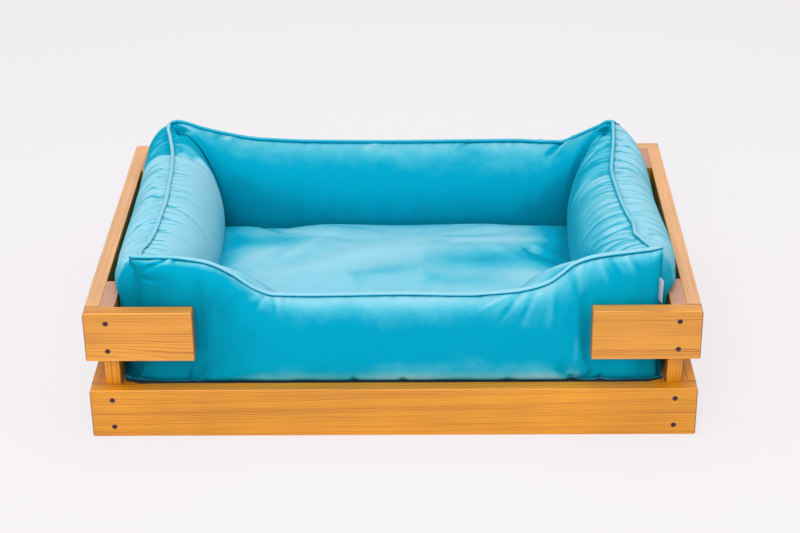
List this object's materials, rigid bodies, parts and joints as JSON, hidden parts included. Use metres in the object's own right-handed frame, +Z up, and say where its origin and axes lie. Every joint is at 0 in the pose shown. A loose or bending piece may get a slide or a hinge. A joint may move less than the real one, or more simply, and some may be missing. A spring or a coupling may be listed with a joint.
{
  "type": "dog sofa bed",
  "caption": "Low pet bed: a screwed frame of planed pine boards with a slatted base, holding a fabric bed of stuffed piped walls with a dip at the front and a loose seat cushion.",
  "frame": {"origin": "on the floor under the middle of the frame", "axes": "+X to the right along the front, +Y from the front to the back, +Z up"},
  "size_m": [0.9, 0.6, 0.283],
  "materials": {
    "pine_board": "honey stained planed pine, satin",
    "pine_post": "planed pine on end, its end grain showing on top",
    "pine_slat": "planed pine, oiled",
    "screw_steel": "black phosphate",
    "velour": "turquoise velour with a short nap",
    "seat_velour": "turquoise velour with a short nap, brushed lighter",
    "piping_velour": "the same velour over a cord",
    "label_cloth": "woven satin ribbon, blank",
    "zip_tape": "woven tape with a nylon coil",
    "zip_metal": "dark enamel"
  },
  "bodies": {
    "frame": {"lower_front_board": "pine_board", "lower_back_board": "pine_board", "lower_left_board": "pine_board", "lower_right_board": "pine_board", "upper_front_left_board": "pine_board", "upper_front_right_board": "pine_board", "upper_back_board": "pine_board", "upper_left_board": "pine_board", "upper_right_board": "pine_board", "post_front_left": "pine_post", "post_front_right": "pine_post", "post_back_left": "pine_post", "post_back_right": "pine_post", "front_cleat": "pine_slat", "back_cleat": "pine_slat", "slat_1": "pine_slat", "slat_2": "pine_slat", "slat_3": "pine_slat", "slat_4": "pine_slat", "slat_5": "pine_slat", "slat_6": "pine_slat", "slat_7": "pine_slat", "slat_8": "pine_slat", "front_screws": "screw_steel", "back_screws": "screw_steel", "left_screws": "screw_steel", "right_screws": "screw_steel", "cleat_screws": "screw_steel", "slat_screws": "screw_steel"},
    "bed": {"base_cloth": "velour", "wall_front": "velour", "wall_back": "velour", "wall_left": "velour", "wall_right": "velour", "piping_front": "piping_velour", "piping_back": "piping_velour", "piping_left": "piping_velour", "piping_right": "piping_velour", "side_label": "label_cloth", "wall_zip": "zip_tape"},
    "wall_slider": {"wall_zip_slider": "zip_metal"},
    "seat": {"seat_cushion": "seat_velour", "seat_zip": "zip_tape"},
    "seat_slider": {"seat_zip_slider": "zip_metal"}
  },
  "joints": [
    {"name": "bed_lift", "type": "slide", "parent": "frame", "child": "bed", "axis": [0, 0, 1], "range_m": [0, 0.3]},
    {"name": "wall_zip_slide", "type": "slide", "parent": "bed", "child": "wall_slider", "axis": [1, 0, 0], "range_m": [-0.42, 0]},
    {"name": "seat_lift", "type": "slide", "parent": "bed", "child": "seat", "axis": [0, 0, 1], "range_m": [0, 0.25]},
    {"name": "seat_zip_slide", "type": "slide", "parent": "seat", "child": "seat_slider", "axis": [1, 0, 0], "range_m": [-0.4, 0]}
  ]
}
